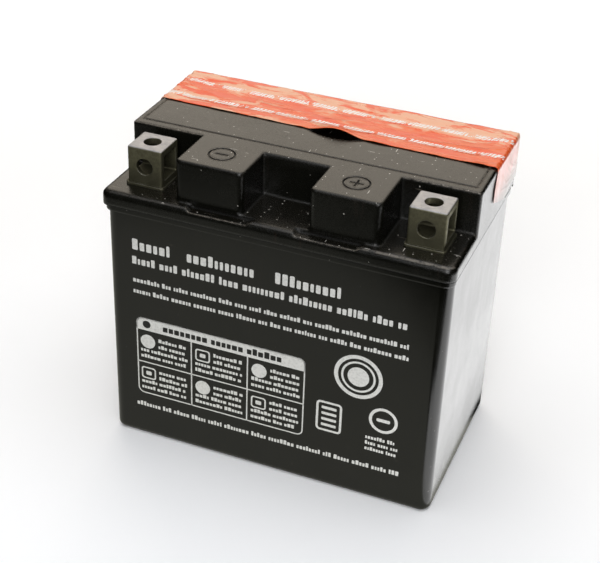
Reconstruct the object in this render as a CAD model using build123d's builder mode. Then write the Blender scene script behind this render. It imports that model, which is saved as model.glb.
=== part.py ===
"""A 12 V sealed lead-acid motorcycle battery, dry, with its filler ports still taped over.

The origin is at the centre of the base. +X runs along the long face from the negative
terminal to the positive one, +Y runs from the terminals back to the filler ports, and +Z
is up. Sizes are in millimetres.
"""

import os

from build123d import *

os.makedirs("parts", exist_ok=True)

# Outside
LENGTH = 113.0  # over the lid, X
DEPTH = 70.0  # over the lid, Y
HEIGHT = 105.0  # base to the flat top of the lid
JOINT_Z = 86.5  # heat-sealed joint between case and lid
LEDGE_Z = 91.3  # low front step that the terminals stand on
LID_CORNER_R = 3.0
LEDGE_EDGE_R = 2.0

# Case
RIM_INSET = 0.4, 0.8  # the case's rim stands this far inside the lid, in X and Y
RIM_HEIGHT = 2.3
RIM_LOWER_R = 0.35
BODY_INSET = 0.9, 1.9  # the case's wall below the rim, inside the lid
DRAFT = 0.1, 0.3  # the wall leans in this much more by the base
CASE_CORNER_R = 3.4
BASE_EDGE_R = 2.0
FLOOR_T = 2.4
REST_RIB_HEIGHT = 3.0
REST_RIB_WIDTH = 1.6
REST_RIB_Y = 16.0

# Cells
CELLS = 6
PITCH = 18.0
CELL_WIDTH = 16.6
CELL_DEPTH = 61.8
CELL_CORNER_R = 1.0
WALL_T = PITCH - CELL_WIDTH

# Lid
LID_T = 2.3
PLATEAU_FRONT_Y = -12.4  # wall behind the terminals
PLATEAU_FRONT_R = 2.2
PLATEAU_REAR_Y = 32.8
CENTRE_FRONT_Y = -15.6  # wall between the two blocks
TOP_EDGE_R = 1.0
BOSS_X = 21.5  # the two blocks between the terminals
BOSS_WIDTH = 22.0
BOSS_FRONT_Y = -31.4
BOSS_CORNER_R = 1.6
BOSS_EDGE_R = 0.7
CENTRE_EDGE_R = 1.0
ROOT_R = 0.6  # where the walls meet the ledge
MARK_R = 4.3
MARK_LINE = 0.65
MARK_DEPTH = 0.45
SILL_NEAR_X = 8.0  # the ledge's edge is cut down in front of each block
SILL_FAR_X = 26.5
SILL_DROP = 1.0
SILL_SLOPE = 1.8
SLOT_NEAR_Y = 21.5  # narrow relief under the lid's edge, at the right rear
SLOT_FAR_Y = 32.0
SLOT_HEIGHT = 1.2
SLOT_DEPTH = 1.0

# Valve gallery and its cover plate
COVER_T = 1.8
COVER_GAP = 0.12
COVER_FRONT_Y = -9.35
COVER_LENGTH = 108.6
GALLERY_FRONT_Y = -7.8
GALLERY_REAR_Y = 1.0
GALLERY_LENGTH = 105.0
GALLERY_FLOOR_Z = 98.5
SPOUT_R = 2.8
SPOUT_BORE_R = 1.5
SPOUT_HEIGHT = 2.8
CAP_R = 3.8
CAP_CLEARANCE = 0.1
CAP_TOP_T = 1.2
CAP_SKIRT_GAP = 0.5  # cap's skirt above the gallery floor
ARRESTOR_X = 2 * PITCH
ARRESTOR_R = 1.8
ARRESTOR_LENGTH = 4.0
VENT_R = 1.0
VENT_Z = 101.0

# Filler trough
TROUGH_FRONT_Y = 9.4
TROUGH_REAR_Y = 29.6
TROUGH_LENGTH = 106.0
TROUGH_FLOOR_Z = 100.8
TROUGH_CORNER_R = 2.0
PORT_Y = 19.5
PORT_R = 4.5
COLLAR_R = 6.4
COLLAR_HEIGHT = 2.6
TUBE_R = 5.8
TUBE_BOTTOM_Z = 90.0
NOTCH_X = 4.3  # finger notch in the trough's front edge
NOTCH_R = 17.8
NOTCH_APEX_Y = 3.1

# Terminals
TERMINAL_X = 44.9
TERMINAL_WIDTH = 11.6
TERMINAL_FRONT_Y = -27.2
TERMINAL_REAR_Y = -15.8
TERMINAL_TOP_Z = 104.0
TERMINAL_WALL = 1.6
TERMINAL_TOP_T = 2.0
NUT_SLOT_BOTTOM_Z = 93.8
TERMINAL_HOLE_R = 2.75  # clears an M5 screw
FRONT_HOLE_Z = 97.9
FLANGE_OVERHANG = 0.6
FLANGE_T = 0.8
POST_R = 4.0
POST_BOTTOM_Z = 84.0
POST_GAP = 0.1
SEAL_R = 6.0
SEAL_T = 0.9
SLEEVE_R = 6.4

# Plates and straps
NEGATIVE_T = 1.0
POSITIVE_T = 1.5
SEPARATOR_T = 0.68
POSITIVES = 4
PLATE_DEPTH = 58.0
PLATE_TOP_Z = 71.4
PASTE_BORDER = 2.2
PASTE_RECESS = 0.12
SEPARATOR_DEPTH = 60.6
SEPARATOR_TOP_Z = 74.2
LUG_WIDTH = 7.0
STRAP_Y = 20.0
STRAP_BOTTOM_Z = 76.0
STRAP_T = 3.4
STRAP_LENGTH = 15.4
STRAP_WIDTH = 9.0
TAB_T = 2.0
TAB_TOP_Z = 85.0
WELD_R = 2.5
WELD_Z = 82.2

# Tape
TAPE_T = 0.25
TAPE_GAP = 0.15
TAPE_FRONT_Y = 5.9
TAPE_REAR_Y = 31.9
TAPE_BOTTOM_Z = 88.3

# Worked out from the sizes above
CELL_X = [(cell - (CELLS - 1) / 2) * PITCH for cell in range(CELLS)]
WALL_X = [x + PITCH / 2 for x in CELL_X[:-1]]
RIM_BOTTOM_Z = JOINT_Z - RIM_HEIGHT
COVER_SEAT_Z = HEIGHT - COVER_T
COVER_REAR_Y = TROUGH_FRONT_Y
SPOUT_TOP_Z = GALLERY_FLOOR_Z + SPOUT_HEIGHT
CAP_Y = (GALLERY_FRONT_Y + GALLERY_REAR_Y) / 2
CAP_BOTTOM_Z = GALLERY_FLOOR_Z + CAP_SKIRT_GAP
NOTCH_Y = NOTCH_APEX_Y + NOTCH_R
TERMINAL_Y = (TERMINAL_FRONT_Y + TERMINAL_REAR_Y) / 2
TERMINAL_DEPTH = TERMINAL_REAR_Y - TERMINAL_FRONT_Y
REST_TOP_Z = FLOOR_T + REST_RIB_HEIGHT
STRAP_TOP_Z = STRAP_BOTTOM_Z + STRAP_T
REPEAT_T = NEGATIVE_T + 2 * SEPARATOR_T + POSITIVE_T
STACK_T = POSITIVES * REPEAT_T + NEGATIVE_T


def on_x(offset):
    """A plane square to X: its own x runs along +Y and its own y along +Z."""
    return Plane.YZ.offset(offset)


def on_y(offset):
    """A plane square to Y, facing -Y: its own x runs along +X and its own y along +Z."""
    return Plane.XZ.offset(-offset)


def front_side(cell, positive):
    """Whether a cell's strap is at the front: the cells alternate, so neighbours meet."""
    return (cell % 2 == 1) == positive


def strap_y(cell, positive):
    return -STRAP_Y if front_side(cell, positive) else STRAP_Y


# Case: a tapered box with a rim, split into six cells with ribs under their plates
body_length = LENGTH - 2 * BODY_INSET[0]
body_depth = DEPTH - 2 * BODY_INSET[1]
with BuildPart() as case:
    with BuildSketch(Plane.XY):
        RectangleRounded(
            body_length - 2 * DRAFT[0], body_depth - 2 * DRAFT[1], CASE_CORNER_R
        )
    with BuildSketch(Plane.XY.offset(RIM_BOTTOM_Z)):
        RectangleRounded(body_length, body_depth, CASE_CORNER_R)
    loft()
    fillet(case.edges().group_by(Axis.Z)[0], BASE_EDGE_R)
    with BuildSketch(Plane.XY.offset(RIM_BOTTOM_Z)):
        RectangleRounded(LENGTH - 2 * RIM_INSET[0], DEPTH - 2 * RIM_INSET[1], CASE_CORNER_R)
    extrude(amount=RIM_HEIGHT)
    rim_underside = case.faces().filter_by(Plane.XY).group_by(Axis.Z)[1]
    fillet(rim_underside[0].outer_wire().edges(), RIM_LOWER_R)
    with BuildSketch(Plane.XY.offset(FLOOR_T)):
        with Locations(*[(x, 0) for x in CELL_X]):
            RectangleRounded(CELL_WIDTH, CELL_DEPTH, CELL_CORNER_R)
    extrude(amount=JOINT_Z - FLOOR_T, mode=Mode.SUBTRACT)
    with BuildSketch(Plane.XY.offset(FLOOR_T)):
        with Locations(*[(x, y) for x in CELL_X for y in (-REST_RIB_Y, REST_RIB_Y)]):
            Rectangle(CELL_WIDTH, REST_RIB_WIDTH)
    extrude(amount=REST_RIB_HEIGHT)
    for wall, x in enumerate(WALL_X):
        with BuildSketch(on_x(x - WALL_T / 2)):
            with Locations((strap_y(wall, True), WELD_Z)):
                Circle(WELD_R)
        extrude(amount=WALL_T, mode=Mode.SUBTRACT)
case.part.label = "case"
export_step(case.part, "parts/case.step")

# The lid's outer blocks: ledge, plateau, the wall between the two blocks that stand between
# the terminals, and one of those two blocks
with BuildPart() as ledge_block:
    with BuildSketch(Plane.XY.offset(JOINT_Z)):
        RectangleRounded(LENGTH, DEPTH, LID_CORNER_R)
    extrude(amount=LEDGE_Z - JOINT_Z)
    fillet(ledge_block.edges().group_by(Axis.Z)[-1], LEDGE_EDGE_R)

with BuildPart() as plateau_block:
    with BuildSketch(on_x(-LENGTH / 2)) as side_profile:
        with Locations((PLATEAU_FRONT_Y, JOINT_Z)):
            Rectangle(
                PLATEAU_REAR_Y - PLATEAU_FRONT_Y, HEIGHT - JOINT_Z, align=(Align.MIN, Align.MIN)
            )
        fillet(side_profile.vertices().group_by(Axis.Z)[-1].sort_by(Axis.Y)[0], PLATEAU_FRONT_R)
    extrude(amount=LENGTH)
    with BuildSketch(Plane.XY.offset(JOINT_Z)):
        with Locations((0, PLATEAU_REAR_Y)):
            RectangleRounded(LENGTH, DEPTH, LID_CORNER_R, align=(Align.CENTER, Align.MAX))
    extrude(amount=HEIGHT - JOINT_Z, mode=Mode.INTERSECT)
    side_faces = plateau_block.faces().filter_by(Plane.YZ)
    rear_face = plateau_block.faces().filter_by(Plane.XZ).sort_by(Axis.Y)[-1]
    top_edges = plateau_block.edges().group_by(Axis.Z)[-1]
    outline = side_faces.edges() + top_edges.filter_by(GeomType.CIRCLE) + rear_face.edges()
    outline = outline.filter_by(lambda edge: edge.center().Z > LEDGE_Z)
    rear_uprights = outline.filter_by(Axis.Z).filter_by(lambda edge: edge.center().Y > 0)
    fillet([edge for edge in outline if edge not in rear_uprights], TOP_EDGE_R)

with BuildPart() as boss_block:
    with BuildSketch(Plane.XY.offset(JOINT_Z)) as boss_outline:
        with Locations((0, BOSS_FRONT_Y)):
            Rectangle(BOSS_WIDTH, COVER_FRONT_Y - BOSS_FRONT_Y, align=(Align.CENTER, Align.MIN))
        fillet(boss_outline.vertices().group_by(Axis.Y)[0], BOSS_CORNER_R)
    extrude(amount=HEIGHT - JOINT_Z)
    boss_top = boss_block.edges().group_by(Axis.Z)[-1]
    fillet(boss_top.sort_by(Axis.Y)[:-1], BOSS_EDGE_R)

with BuildPart() as centre_block:
    with BuildSketch(Plane.XY.offset(JOINT_Z)):
        with Locations((0, CENTRE_FRONT_Y)):
            Rectangle(2 * BOSS_X, COVER_FRONT_Y - CENTRE_FRONT_Y, align=(Align.CENTER, Align.MIN))
    extrude(amount=HEIGHT - JOINT_Z)
    fillet(centre_block.edges().group_by(Axis.Z)[-1].sort_by(Axis.Y)[0], CENTRE_EDGE_R)

# Lid: hollow under its blocks, with walls that meet the case's, a covered gallery for the
# valves, and an open trough with the six filler ports
with BuildPart() as lid:
    add(ledge_block.part)
    add(plateau_block.part)
    add(centre_block.part)
    with Locations((-BOSS_X, 0, 0), (BOSS_X, 0, 0)):
        add(boss_block.part)
    roots = lid.edges().filter_by_position(Axis.Z, LEDGE_Z, LEDGE_Z)
    roots = roots.filter_by_position(Axis.Y, BOSS_FRONT_Y, PLATEAU_FRONT_Y)
    roots = roots.filter_by(lambda edge: abs(edge.center().X) < BOSS_X + BOSS_WIDTH / 2 + ROOT_R)
    fillet(roots, ROOT_R)
    # the ledge's edge in front of each block
    with BuildSketch(on_y(-DEPTH / 2)):
        for side in (-1, 1):
            near, far = side * SILL_NEAR_X, side * SILL_FAR_X
            with BuildLine():
                Polyline(
                    (near - side * SILL_SLOPE, LEDGE_Z),
                    (near, LEDGE_Z - SILL_DROP),
                    (far, LEDGE_Z - SILL_DROP),
                    (far + side * SILL_SLOPE, LEDGE_Z),
                    close=True,
                )
            make_face()
    extrude(amount=-(DEPTH / 2 + BOSS_FRONT_Y), mode=Mode.SUBTRACT)
    # the relief under the edge at the right rear
    with BuildSketch(Plane.XY.offset(JOINT_Z)):
        with Locations((LENGTH / 2, SLOT_NEAR_Y)):
            Rectangle(2 * SLOT_DEPTH, SLOT_FAR_Y - SLOT_NEAR_Y, align=(Align.CENTER, Align.MIN))
    extrude(amount=SLOT_HEIGHT, mode=Mode.SUBTRACT)
    # the hollow over each cell, lowest over the ledge and highest over the trough
    gallery_roof_z = GALLERY_FLOOR_Z - LID_T
    trough_roof_z = TROUGH_FLOOR_Z - LID_T
    for front_y, roof_z in (
        (-CELL_DEPTH / 2, LEDGE_Z - LID_T),
        (PLATEAU_FRONT_Y + LID_T, gallery_roof_z),
        (NOTCH_APEX_Y, trough_roof_z),
    ):
        with BuildSketch(Plane.XY.offset(JOINT_Z)):
            for x in CELL_X:
                with Locations((x, front_y)):
                    Rectangle(CELL_WIDTH, CELL_DEPTH / 2 - front_y, align=(Align.CENTER, Align.MIN))
        extrude(amount=roof_z - JOINT_Z, mode=Mode.SUBTRACT)
    # the hollow inside the two blocks, split by the cell walls
    with BuildSketch(Plane.XY.offset(JOINT_Z)):
        for side in (-1, 1):
            with Locations((side * BOSS_X, BOSS_FRONT_Y + LID_T)):
                Rectangle(
                    BOSS_WIDTH - 2 * LID_T,
                    PLATEAU_FRONT_Y - BOSS_FRONT_Y,
                    align=(Align.CENTER, Align.MIN),
                )
        for x in WALL_X:
            with Locations((x, 0)):
                Rectangle(WALL_T, DEPTH, mode=Mode.SUBTRACT)
    extrude(amount=HEIGHT - LID_T - JOINT_Z, mode=Mode.SUBTRACT)
    # a circled minus and a circled plus, sunk into the two blocks
    with BuildSketch(Plane.XY.offset(HEIGHT)):
        mark_y = (BOSS_FRONT_Y + PLATEAU_FRONT_Y) / 2
        with Locations((-BOSS_X, mark_y), (BOSS_X, mark_y)):
            Circle(MARK_R)
            Circle(MARK_R - MARK_LINE, mode=Mode.SUBTRACT)
            Rectangle(MARK_R, MARK_LINE)
        with Locations((BOSS_X, mark_y)):
            Rectangle(MARK_LINE, MARK_R)
    extrude(amount=-MARK_DEPTH, mode=Mode.SUBTRACT)
    # the seat for the cover plate and the gallery below it
    with BuildSketch(Plane.XY.offset(HEIGHT)):
        with Locations((0, COVER_FRONT_Y)):
            Rectangle(COVER_LENGTH, COVER_REAR_Y - COVER_FRONT_Y, align=(Align.CENTER, Align.MIN))
    extrude(amount=-COVER_T, mode=Mode.SUBTRACT)
    with BuildSketch(Plane.XY.offset(COVER_SEAT_Z)):
        with Locations((0, CAP_Y)):
            RectangleRounded(GALLERY_LENGTH, GALLERY_REAR_Y - GALLERY_FRONT_Y, CELL_CORNER_R)
    extrude(amount=GALLERY_FLOOR_Z - COVER_SEAT_Z, mode=Mode.SUBTRACT)
    with BuildSketch(Plane.XY.offset(GALLERY_FLOOR_Z)):
        with Locations(*[(x, CAP_Y) for x in CELL_X]):
            Circle(SPOUT_R)
    extrude(amount=SPOUT_HEIGHT)
    with BuildSketch(Plane.XY.offset(gallery_roof_z)):
        with Locations(*[(x, CAP_Y) for x in CELL_X]):
            Circle(SPOUT_BORE_R)
    extrude(amount=SPOUT_TOP_Z - gallery_roof_z, mode=Mode.SUBTRACT)
    # the trough, its finger notch, and the ports with a collar above and a tube below
    with BuildSketch(Plane.XY.offset(HEIGHT)):
        with Locations((0, (TROUGH_FRONT_Y + TROUGH_REAR_Y) / 2)):
            RectangleRounded(TROUGH_LENGTH, TROUGH_REAR_Y - TROUGH_FRONT_Y, TROUGH_CORNER_R)
        with Locations((NOTCH_X, NOTCH_Y)):
            Circle(NOTCH_R)
        with Locations((0, TROUGH_REAR_Y)):
            Rectangle(LENGTH, DEPTH, align=(Align.CENTER, Align.MIN), mode=Mode.SUBTRACT)
    extrude(amount=TROUGH_FLOOR_Z - HEIGHT, mode=Mode.SUBTRACT)
    with BuildSketch(Plane.XY.offset(TROUGH_FLOOR_Z)):
        with Locations(*[(x, PORT_Y) for x in CELL_X]):
            Circle(COLLAR_R)
    extrude(amount=COLLAR_HEIGHT)
    with BuildSketch(Plane.XY.offset(TUBE_BOTTOM_Z)):
        with Locations(*[(x, PORT_Y) for x in CELL_X]):
            Circle(TUBE_R)
    extrude(amount=TROUGH_FLOOR_Z - TUBE_BOTTOM_Z)
    with BuildSketch(Plane.XY.offset(TUBE_BOTTOM_Z)):
        with Locations(*[(x, PORT_Y) for x in CELL_X]):
            Circle(PORT_R)
    extrude(amount=HEIGHT - TUBE_BOTTOM_Z, mode=Mode.SUBTRACT)
    # the two vent passages from the gallery to the trough, stepped for their arrestors
    with BuildSketch(on_y(GALLERY_REAR_Y)):
        with Locations((-ARRESTOR_X, VENT_Z), (ARRESTOR_X, VENT_Z)):
            Circle(ARRESTOR_R)
    extrude(amount=-ARRESTOR_LENGTH, mode=Mode.SUBTRACT)
    with BuildSketch(on_y(GALLERY_REAR_Y)):
        with Locations((-ARRESTOR_X, VENT_Z), (ARRESTOR_X, VENT_Z)):
            Circle(VENT_R)
    extrude(amount=-(TROUGH_FRONT_Y - GALLERY_REAR_Y), mode=Mode.SUBTRACT)
    # a sleeve for each terminal's post, with a counterbore for its seal
    with BuildSketch(Plane.XY.offset(JOINT_Z)):
        with Locations((-TERMINAL_X, TERMINAL_Y), (TERMINAL_X, TERMINAL_Y)):
            Circle(SLEEVE_R)
    extrude(amount=LEDGE_Z - LID_T - JOINT_Z)
    with BuildSketch(Plane.XY.offset(JOINT_Z)):
        with Locations((-TERMINAL_X, TERMINAL_Y), (TERMINAL_X, TERMINAL_Y)):
            Circle(POST_R + POST_GAP)
    extrude(amount=LEDGE_Z - JOINT_Z, mode=Mode.SUBTRACT)
    with BuildSketch(Plane.XY.offset(LEDGE_Z)):
        with Locations((-TERMINAL_X, TERMINAL_Y), (TERMINAL_X, TERMINAL_Y)):
            Circle(SEAL_R + POST_GAP)
    extrude(amount=-SEAL_T, mode=Mode.SUBTRACT)
lid.part.label = "lid"
export_step(lid.part, "parts/lid.step")

# Cover plate over the valve gallery, notched like the trough behind it
with BuildPart() as valve_cover:
    with BuildSketch(Plane.XY.offset(COVER_SEAT_Z)):
        with Locations((0, COVER_FRONT_Y + COVER_GAP)):
            Rectangle(
                COVER_LENGTH - 2 * COVER_GAP,
                COVER_REAR_Y - COVER_FRONT_Y - COVER_GAP,
                align=(Align.CENTER, Align.MIN),
            )
        with Locations((NOTCH_X, NOTCH_Y)):
            Circle(NOTCH_R, mode=Mode.SUBTRACT)
    extrude(amount=COVER_T)
valve_cover.part.label = "valve_cover"
export_step(valve_cover.part, "parts/valve_cover.step")

# Rubber cap over each cell's spout
for cell, x in enumerate(CELL_X, start=1):
    with BuildPart() as valve_cap:
        with BuildSketch(Plane.XY.offset(CAP_BOTTOM_Z)):
            with Locations((x, CAP_Y)):
                Circle(CAP_R)
        extrude(amount=SPOUT_TOP_Z + CAP_TOP_T - CAP_BOTTOM_Z)
        fillet(valve_cap.edges().group_by(Axis.Z)[-1], CAP_TOP_T / 2)
        with BuildSketch(Plane.XY.offset(CAP_BOTTOM_Z)):
            with Locations((x, CAP_Y)):
                Circle(SPOUT_R + CAP_CLEARANCE)
        extrude(amount=SPOUT_TOP_Z - CAP_BOTTOM_Z, mode=Mode.SUBTRACT)
    valve_cap.part.label = f"valve_cap_{cell}"
    export_step(valve_cap.part, f"parts/valve_cap_{cell}.step")

for side, side_name in ((-1, "left"), (1, "right")):
    # Porous plug in the vent passage
    with BuildPart() as flame_arrestor:
        with BuildSketch(on_y(GALLERY_REAR_Y)):
            with Locations((side * ARRESTOR_X, VENT_Z)):
                Circle(ARRESTOR_R)
        extrude(amount=-ARRESTOR_LENGTH)
    flame_arrestor.part.label = f"flame_arrestor_{side_name}"
    export_step(flame_arrestor.part, f"parts/flame_arrestor_{side_name}.step")

for side, polarity in ((-1, "negative"), (1, "positive")):
    terminal_x = side * TERMINAL_X

    # Cast block on a post: a nut slides in from either side, under a hole in the top and
    # behind a hole in the front
    with BuildPart() as terminal:
        with BuildSketch(Plane.XY.offset(LEDGE_Z)):
            with Locations((terminal_x, TERMINAL_Y)):
                Rectangle(TERMINAL_WIDTH, TERMINAL_DEPTH)
        extrude(amount=TERMINAL_TOP_Z - LEDGE_Z)
        fillet(terminal.edges().filter_by(Axis.Z), 0.7)
        fillet(terminal.edges().group_by(Axis.Z)[-1], 0.5)
        with BuildSketch(Plane.XY.offset(LEDGE_Z)):
            with Locations((terminal_x, TERMINAL_Y)):
                RectangleRounded(
                    TERMINAL_WIDTH + 2 * FLANGE_OVERHANG, TERMINAL_DEPTH + 2 * FLANGE_OVERHANG, 1.0
                )
        extrude(amount=FLANGE_T)
        with BuildSketch(Plane.XY.offset(POST_BOTTOM_Z)):
            with Locations((terminal_x, TERMINAL_Y)):
                Circle(POST_R)
        extrude(amount=LEDGE_Z - POST_BOTTOM_Z)
        with BuildSketch(on_x(terminal_x - TERMINAL_WIDTH / 2)) as nut_slot:
            slot_top_z = TERMINAL_TOP_Z - TERMINAL_TOP_T
            with Locations((TERMINAL_Y, (NUT_SLOT_BOTTOM_Z + slot_top_z) / 2)):
                Rectangle(TERMINAL_DEPTH - 2 * TERMINAL_WALL, slot_top_z - NUT_SLOT_BOTTOM_Z)
            fillet(nut_slot.vertices(), 0.6)
        extrude(amount=TERMINAL_WIDTH, mode=Mode.SUBTRACT)
        with BuildSketch(Plane.XY.offset(TERMINAL_TOP_Z)):
            with Locations((terminal_x, TERMINAL_Y)):
                Circle(TERMINAL_HOLE_R)
        extrude(amount=-TERMINAL_TOP_T, mode=Mode.SUBTRACT)
        with BuildSketch(on_y(TERMINAL_FRONT_Y)):
            with Locations((terminal_x, FRONT_HOLE_Z)):
                Circle(TERMINAL_HOLE_R)
        extrude(amount=-TERMINAL_WALL, mode=Mode.SUBTRACT)
    terminal.part.label = f"terminal_{polarity}"
    export_step(terminal.part, f"parts/terminal_{polarity}.step")

    # Rubber ring squeezed between the terminal's flange and the lid
    with BuildPart() as post_seal:
        with BuildSketch(Plane.XY.offset(LEDGE_Z)):
            with Locations((terminal_x, TERMINAL_Y)):
                Circle(SEAL_R)
                Circle(POST_R + POST_GAP, mode=Mode.SUBTRACT)
        extrude(amount=-SEAL_T)
    post_seal.part.label = f"post_seal_{polarity}"
    export_step(post_seal.part, f"parts/post_seal_{polarity}.step")

for cell, cell_x in enumerate(CELL_X):
    stack_x = cell_x - STACK_T / 2
    positive_x = [stack_x + NEGATIVE_T + SEPARATOR_T + REPEAT_T * n for n in range(POSITIVES)]
    negative_x = [stack_x + REPEAT_T * n for n in range(POSITIVES + 1)]

    # Pasted plates: a bordered field on each face and a lug up to the strap
    for polarity, plate_x, plate_t, bottom_z in (
        ("positive", positive_x, POSITIVE_T, REST_TOP_Z + SEPARATOR_T),
        ("negative", negative_x, NEGATIVE_T, REST_TOP_Z),
    ):
        lug_y = strap_y(cell, polarity == "positive")
        mid_z = (PLATE_TOP_Z + bottom_z) / 2
        with BuildPart() as plates:
            for x in plate_x:
                with BuildSketch(on_x(x)):
                    with Locations((0, mid_z)):
                        Rectangle(PLATE_DEPTH, PLATE_TOP_Z - bottom_z)
                    with Locations((lug_y, PLATE_TOP_Z)):
                        Rectangle(
                            LUG_WIDTH, STRAP_BOTTOM_Z - PLATE_TOP_Z, align=(Align.CENTER, Align.MIN)
                        )
                extrude(amount=plate_t)
                for face_x, inward in ((x, PASTE_RECESS), (x + plate_t, -PASTE_RECESS)):
                    with BuildSketch(on_x(face_x)):
                        with Locations((0, mid_z)):
                            Rectangle(
                                PLATE_DEPTH - 2 * PASTE_BORDER,
                                PLATE_TOP_Z - bottom_z - 2 * PASTE_BORDER,
                            )
                    extrude(amount=inward, mode=Mode.SUBTRACT)
        plates.part.label = f"{polarity}_plates_{cell + 1}"
        export_step(plates.part, f"parts/{polarity}_plates_{cell + 1}.step")

    # Glass mat folded under and up both faces of each positive plate
    with BuildPart() as separators:
        for x in positive_x:
            with BuildSketch(Plane.XZ.offset(-SEPARATOR_DEPTH / 2)):
                with Locations((x + POSITIVE_T / 2, REST_TOP_Z)):
                    Rectangle(
                        POSITIVE_T + 2 * SEPARATOR_T,
                        SEPARATOR_TOP_Z - REST_TOP_Z,
                        align=(Align.CENTER, Align.MIN),
                    )
                with Locations((x + POSITIVE_T / 2, REST_TOP_Z + SEPARATOR_T)):
                    Rectangle(
                        POSITIVE_T,
                        SEPARATOR_TOP_Z - REST_TOP_Z,
                        align=(Align.CENTER, Align.MIN),
                        mode=Mode.SUBTRACT,
                    )
            extrude(amount=SEPARATOR_DEPTH)
    separators.part.label = f"separators_{cell + 1}"
    export_step(separators.part, f"parts/separators_{cell + 1}.step")

    # Strap across each set of lugs, with a tab against the cell wall, or a pad under the post
    for polarity, toward_wall in (("positive", 1), ("negative", -1)):
        y = strap_y(cell, polarity == "positive")
        ends_at_post = cell == (CELLS - 1 if polarity == "positive" else 0)
        with BuildPart() as strap:
            with BuildSketch(Plane.XY.offset(STRAP_BOTTOM_Z)):
                with Locations((cell_x, y)):
                    Rectangle(STRAP_LENGTH, STRAP_WIDTH)
            extrude(amount=STRAP_T)
            if ends_at_post:
                with BuildSketch(Plane.XY.offset(STRAP_TOP_Z)):
                    with Locations((toward_wall * TERMINAL_X, TERMINAL_Y)):
                        Circle(POST_R)
                extrude(amount=POST_BOTTOM_Z - STRAP_TOP_Z)
            else:
                wall_face_x = cell_x + toward_wall * CELL_WIDTH / 2
                with BuildSketch(Plane.XY.offset(STRAP_BOTTOM_Z)):
                    with Locations((wall_face_x - toward_wall * TAB_T / 2, y)):
                        Rectangle(TAB_T, STRAP_WIDTH)
                extrude(amount=TAB_TOP_Z - STRAP_BOTTOM_Z)
        strap.part.label = f"{polarity}_strap_{cell + 1}"
        export_step(strap.part, f"parts/{polarity}_strap_{cell + 1}.step")

# Lead weld through each cell wall, between the tabs of two neighbouring straps
for wall, x in enumerate(WALL_X):
    with BuildPart() as cell_weld:
        with BuildSketch(on_x(x - WALL_T / 2)):
            with Locations((strap_y(wall, True), WELD_Z)):
                Circle(WELD_R)
        extrude(amount=WALL_T)
    cell_weld.part.label = f"cell_weld_{wall + 1}"
    export_step(cell_weld.part, f"parts/cell_weld_{wall + 1}.step")

# Tape over the trough, folded down both sides of the lid
with BuildPart() as seal_tape:
    with BuildSketch(on_y(TAPE_FRONT_Y)) as tape_profile:
        for margin, mode in ((TAPE_GAP + TAPE_T, Mode.ADD), (TAPE_GAP, Mode.SUBTRACT)):
            with BuildSketch(mode=mode) as hoop:
                with Locations((0, HEIGHT + margin)):
                    Rectangle(
                        LENGTH + 2 * margin,
                        HEIGHT + margin - TAPE_BOTTOM_Z,
                        align=(Align.CENTER, Align.MAX),
                    )
                fillet(hoop.vertices().group_by(Axis.Y)[-1], TOP_EDGE_R + margin)
    extrude(amount=-(TAPE_REAR_Y - TAPE_FRONT_Y))
seal_tape.part.label = "seal_tape"
export_step(seal_tape.part, "parts/seal_tape.step")
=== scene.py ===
"""The looks of a small black motorcycle battery with a film over its filler ports.

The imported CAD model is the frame. This script gives every CAD node a procedural material,
replaces the plain tape solid with a wrinkled film, adds the pale print on the front of the
case, and sets up the camera, the lights and the floor. Materials, the camera and the lights
are in metres. The film and the print are laid out in millimetres, and MM turns those into
metres.
"""

import math
import random
from functools import reduce

import bmesh
import bpy
from mathutils import Matrix, Quaternion, Vector, noise
from mathutils.bvhtree import BVHTree


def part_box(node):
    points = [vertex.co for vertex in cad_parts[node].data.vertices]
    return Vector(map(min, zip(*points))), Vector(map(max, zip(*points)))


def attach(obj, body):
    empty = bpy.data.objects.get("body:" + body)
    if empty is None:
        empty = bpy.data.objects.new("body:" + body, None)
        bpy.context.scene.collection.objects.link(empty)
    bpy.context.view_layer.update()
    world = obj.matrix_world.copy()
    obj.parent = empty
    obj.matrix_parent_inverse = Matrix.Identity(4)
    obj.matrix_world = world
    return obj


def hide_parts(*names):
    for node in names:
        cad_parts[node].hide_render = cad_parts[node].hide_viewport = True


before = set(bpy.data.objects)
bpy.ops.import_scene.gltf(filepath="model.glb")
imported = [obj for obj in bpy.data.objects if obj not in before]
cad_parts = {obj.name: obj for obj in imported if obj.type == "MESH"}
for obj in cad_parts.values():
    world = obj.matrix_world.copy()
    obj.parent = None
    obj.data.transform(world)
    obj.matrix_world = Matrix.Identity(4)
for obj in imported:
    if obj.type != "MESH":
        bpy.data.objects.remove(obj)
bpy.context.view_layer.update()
MM = 0.001

# The CAD nodes' boxes say where everything else goes
LID_LOW, LID_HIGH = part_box("lid")
CASE_LOW, CASE_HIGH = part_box("case")
COVER_LOW, COVER_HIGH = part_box("valve_cover")
TERMINAL_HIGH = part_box("terminal_positive")[1]
TAPE_LOW, TAPE_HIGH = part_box("seal_tape")
JOINT_Z = CASE_HIGH.z  # where the lid is sealed to the case


# ---------------------------------------------------------------- materials

GROOVE_REACH = 0.8 * MM  # grooves up to about this wide are shaded
JOINT_SHADE_LINE = 0.1 * MM, 0.4 * MM  # solid this far from the joint, and gone that far from it
SEAM_LINE = 0.16 * MM, 0.42 * MM
BLOCKS_REACH_X = 36 * MM  # the lid's two raised blocks lie nearer to the middle than this
BLOCK_FEET_TOP_Z = JOINT_Z + 5.6 * MM
BLOCK_FEET_Y = LID_LOW.y + 1.8 * MM, LID_LOW.y + 2.4 * MM
WEAR_LOW = 0.12  # how much of the wear is left on the joint and below

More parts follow.
